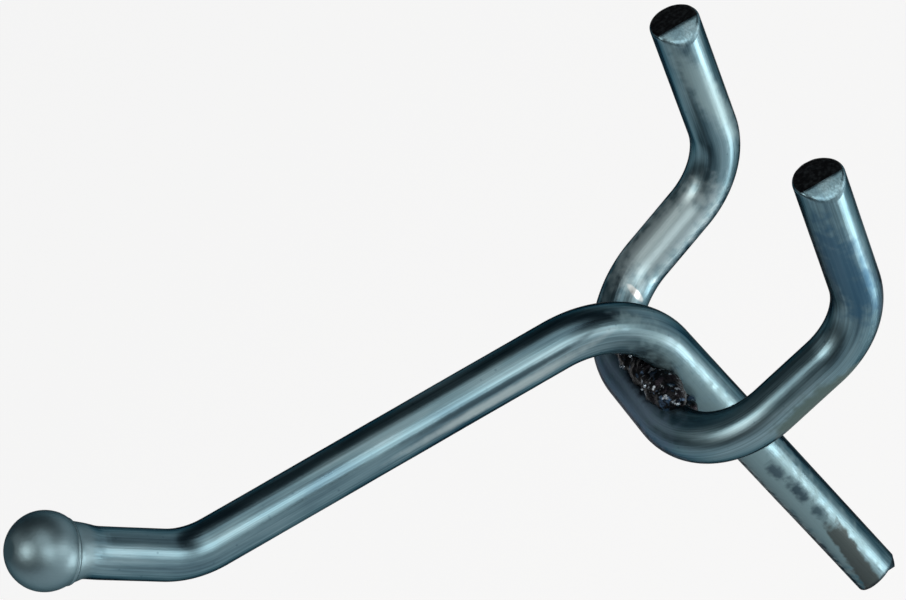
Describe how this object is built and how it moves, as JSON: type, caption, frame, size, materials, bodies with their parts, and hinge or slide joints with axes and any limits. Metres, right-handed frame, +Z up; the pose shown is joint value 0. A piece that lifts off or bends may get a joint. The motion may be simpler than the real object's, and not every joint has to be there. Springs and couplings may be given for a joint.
{
  "type": "pegboard single hook",
  "caption": "Wire hook with a ball end and a welded U-shaped prong staple that plugs into a perforated board.",
  "frame": {"origin": "on the front face of the board, in the hook's mid-plane, at the height of the crosspiece", "axes": "+X out of the board towards the ball, +Z up, Y across the two prongs"},
  "size_m": [0.0777, 0.0318, 0.0805],
  "materials": {
    "zinc_plated_wire": "blue-bright zinc plating over drawn round wire",
    "burnt_weld": "rough burnt weld metal"
  },
  "bodies": {
    "root": {"hook_wire": "zinc_plated_wire", "prong_wire": "zinc_plated_wire", "weld_upper": "burnt_weld", "weld_lower": "burnt_weld"}
  },
  "joints": []
}
